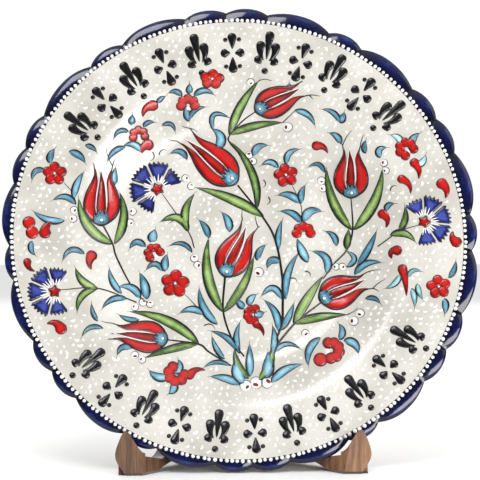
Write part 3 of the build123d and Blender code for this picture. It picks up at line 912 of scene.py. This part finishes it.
# ---- Ornament on the flange ----
DROP_WIDTH = 6.0
ORNAMENT_HALF = 0.42  # half of an ornament's width, as a share of its height
ORNAMENTS = 11  # in each arc
ORNAMENT_ARCS = ((-53, 49, 109, 133), (230, 121, 137, 113))  # first and last angle, foot and top


def palmette(place):
    """A fan of five brush drops over a dot."""
    for angle, reach in ((-74, 0.52), (-38, 0.80), (0, 1.0), (38, 0.80), (74, 0.52)):
        a = math.radians(angle)
        base = (0.26 * math.sin(a), 0.22 + 0.14 * math.cos(a))
        tip = (reach * 0.95 * math.sin(a), 0.22 + reach * 0.80 * math.cos(a))
        bulge = 0.16 * float(np.sign(angle))
        comma(*place([tip, base]), bulge, DROP_WIDTH, "black")
    dot("black", place([(0, 0.06)])[0], 2.1, 0.6)


def rosette(place):
    """Four drops about a gap, with two dots on each side."""
    for angle in (0, 90, 180, 270):
        a = math.radians(angle)
        inner = (0.13 * math.sin(a), 0.5 + 0.10 * math.cos(a))
        outer = (0.46 * math.sin(a), 0.5 + 0.42 * math.cos(a))
        comma(*place([outer, inner]), 0.0, DROP_WIDTH, "black")
    for side in (-0.42, 0.42):
        for up in (0.86, 0.14):
            dot("black", place([(side, up)])[0], 1.5, 0.55)


def paint_ornament():
    """Two arcs of palmettes and rosettes, clockwise over the top and the other way below."""
    for first, last, foot, top in ORNAMENT_ARCS:
        for k in range(ORNAMENTS):
            a = math.radians(first + (last - first) * k / (ORNAMENTS - 1))
            spoke = np.array((math.sin(a), math.cos(a)))
            place = local(spoke * foot, spoke * top, 2 * abs(top - foot) * ORNAMENT_HALF)
            (palmette if k % 2 == 0 else rosette)(place)


# ---- Beads and dabs ----
def dome_faces(first, around, rows):
    """Faces of a small dome: rows of points from its foot up, and then one on its top."""
    faces = []
    for row in range(rows - 1):
        lower, upper = first + row * around, first + (row + 1) * around
        for i in range(around):
            j = (i + 1) % around
            faces.append((lower + i, lower + j, upper + j, upper + i))
    top = first + (rows - 1) * around
    return faces + [(top + i, top + (i + 1) % around, top + around) for i in range(around)]


def make_beads(count=262, radius=1.22, height=1.0):
    """The ring of slip beads where the white meets the cobalt."""
    points, faces = [], []
    around, rows = 10, 4
    for k in range(count):
        a = 2 * math.pi * k / count + rng.uniform(-0.12, 0.12) * 2 * math.pi / count
        at = BEADS_AT + rng.uniform(-0.15, 0.15)
        size = radius * rng.uniform(0.9, 1.1)
        x, y = at * math.sin(a), at * math.cos(a)
        surface = float(front_height(at)) + 0.25
        first = len(points)
        for row in range(rows):
            lift = math.radians(90 * row / rows)
            for i in range(around):
                b = 2 * math.pi * i / around
                points.append((x + size * math.cos(lift) * math.cos(b),
                               y + size * math.cos(lift) * math.sin(b),
                               surface - 0.35 + (height + 0.35) * math.sin(lift)))
        points.append((x, y, surface + height))
        faces += dome_faces(first, around, rows)
    points = np.array(points)
    make_piece("rim_beads", to_row(*points.T), faces, [PAINTS["white"]], "plate",
               {"core": np.ones(len(points)), "tone": np.zeros(len(points))})


DAB_ROWS = 0.86  # gap between rows, as a share of that in a row
DAB_HALF = 0.62  # half of a dab's width at its foot, as a share of its size
DAB_BEND = 0.22
DAB_JITTER = 1.2


def make_dabs(spacing=4.9, size=1.5, height=0.6):
    """The small raised commas of white slip that fill the bare ground."""
    points, heights, faces = [], [], []
    around = 9
    rows = int(2 * GLAZE_EDGE / (spacing * DAB_ROWS))
    for row in range(rows + 1):
        for column in range(rows + 1):
            x = (column - rows / 2 + 0.5 * (row % 2)) * spacing
            x += rng.uniform(-DAB_JITTER, DAB_JITTER)
            y = (row - rows / 2) * spacing * DAB_ROWS + rng.uniform(-DAB_JITTER, DAB_JITTER)
            turn = rng.gauss(0.7, 0.6)
            longer = rng.uniform(1.1, 2.1)
            scale = size * rng.uniform(0.65, 1.1)
            if math.hypot(x, y) > DABS_WITHIN:
                continue
            if painted[round(x / CELL) + HALF_GRID, round(y / CELL) + HALF_GRID]:
                continue
            first = len(points)
            for ring, lift in ((1.0, -0.05), (0.6, 0.75)):
                for i in range(around):
                    b = 2 * math.pi * i / around
                    u = scale * longer * ring * math.cos(b) * DAB_HALF
                    v = scale * ring * math.sin(b) * DAB_HALF + DAB_BEND * u * u
                    points.append((x + u * math.cos(turn) - v * math.sin(turn),
                                   y + u * math.sin(turn) + v * math.cos(turn)))
                    heights.append(lift * height)
            points.append((x, y))
            heights.append(height)
            faces += dome_faces(first, around, 2)
    points = np.array(points)
    z = front_height(np.hypot(*points.T)) + np.array(heights)
    make_piece("ground_dabs", to_row(*points.T, z), faces, [PAINTS["slip"]],
               "plate", {"core": np.ones(len(points)), "tone": np.zeros(len(points))})


# ---- Stand, stage, camera and light ----
BOARD_PAINTED_SHADE_AND_LIGHT = {"left": 0.62, "right": 1.35}  # the left board is the darker one: its wood is darkened as painted shade, and the right board's is lightened as painted light
FLOOR_HALF = 4.0
SEEN_WIDTH = 0.3052  # what the camera takes in where it looks, in metres
SENSOR = 36.0
BRIGHT_SIDE = (0.0, 0.6, 0.8)  # the room is white behind and above, and dim in front
DIM, BRIGHT = 0.17, 1.05


def finish_stand():
    """Wood, brass and felt for the stand's own nodes."""
    # the two boards get a shaded and a lit copy of the same wood: painted shade on the left, painted light
    # on the right
    woods = {side: walnut(f"walnut_{side}", painted_light_factor) for side, painted_light_factor in BOARD_PAINTED_SHADE_AND_LIGHT.items()}
    metal, wool = brass(), felt()
    for name, node in frame["nodes"].items():
        if name == "plate":
            continue
        if name.endswith("_leg"):
            material = woods[name.split("_")[0]]
        elif name.endswith("_pad"):
            material = wool
        else:
            material = metal
        node.data.materials.clear()
        node.data.materials.append(material)


def make_stage():
    """A plain pale floor."""
    mesh = bpy.data.meshes.new("floor")
    corners = [(x * FLOOR_HALF, y * FLOOR_HALF, 0) for x, y in ((-1, -1), (1, -1), (1, 1), (-1, 1))]
    mesh.from_pydata(corners, [], [(0, 1, 2, 3)])
    paper = Recipe("floor_paper", Roughness=0.85)
    tint = paper.ramp(paper.noise(3, 2), (0.3, (0.84, 0.84, 0.83)), (0.7, (0.88, 0.88, 0.87)))
    mesh.materials.append(paper.finish(tint))
    floor = put("floor", mesh)


def aim(thing, target):
    """Turns a lamp or a camera to look at a point."""
    thing.rotation_euler = (Vector(target) - thing.location).to_track_quat("-Z", "Y").to_euler()


def make_camera():
    """The camera, where the painting's eye is."""
    data = bpy.data.cameras.new("camera")
    data.sensor_width = SENSOR
    data.lens = SENSOR * MM * EYE_DISTANCE / SEEN_WIDTH
    data.clip_start, data.clip_end = 0.05, 50
    camera = put("camera", data)
    camera.location = LOOKED_AT + MM * EYE_DISTANCE * TO_EYE
    aim(camera, LOOKED_AT)
    bpy.context.scene.camera = camera


def soft_box(name, place, size, power, colour=(1, 1, 1)):
    """A rectangular lamp that faces the plate."""
    data = bpy.data.lights.new(name, "AREA")
    data.shape = "RECTANGLE"
    data.size, data.size_y = size
    data.energy = power
    data.color = colour
    light = put(name, data)
    light.location = place
    aim(light, tuple(CENTRE))


def light_stage():
    """Four soft lamps: one above, one low on the right, one beside and one behind."""
    soft_box("key_box", (-0.25, -0.90, 1.25), (0.6, 0.5), 8)
    soft_box("low_box", (0.65, -0.95, 0.15), (0.8, 0.4), 10)
    soft_box("side_box", (1.1, -0.6, 0.9), (0.8, 0.8), 2.5, (0.96, 0.98, 1.0))
    soft_box("back_box", (0.3, 1.5, 1.0), (1.4, 1.0), 12)


def light_room():
    """The room's own light, from dim in front to white behind."""
    world = bpy.data.worlds.new("studio")
    world.use_nodes = True
    nodes, links = world.node_tree.nodes, world.node_tree.links
    where = nodes.new("ShaderNodeTexCoord")
    facing = nodes.new("ShaderNodeVectorMath")
    facing.operation = "DOT_PRODUCT"
    facing.inputs[1].default_value = BRIGHT_SIDE
    spread = nodes.new("ShaderNodeMapRange")
    for socket, value in zip(spread.inputs[1:5], (-0.1, 0.5, DIM, BRIGHT)):
        socket.default_value = value
    links.new(where.outputs["Generated"], facing.inputs[0])
    links.new(facing.outputs["Value"], spread.inputs[0])
    links.new(spread.outputs[0], nodes["Background"].inputs["Strength"])
    nodes["Background"].inputs["Color"].default_value = (0.98, 0.985, 1.0, 1)
    bpy.context.scene.world = world
    bpy.context.scene.view_settings.view_transform = "Standard"


make_plate()
paint_tulips()
paint_leaves()
paint_flowers()
paint_stems()
paint_berries()
paint_ornament()
for layer in LAYERS.values():
    layer.build()
make_beads()
make_dabs()
finish_stand()
make_stage()
make_camera()
light_stage()
light_room()
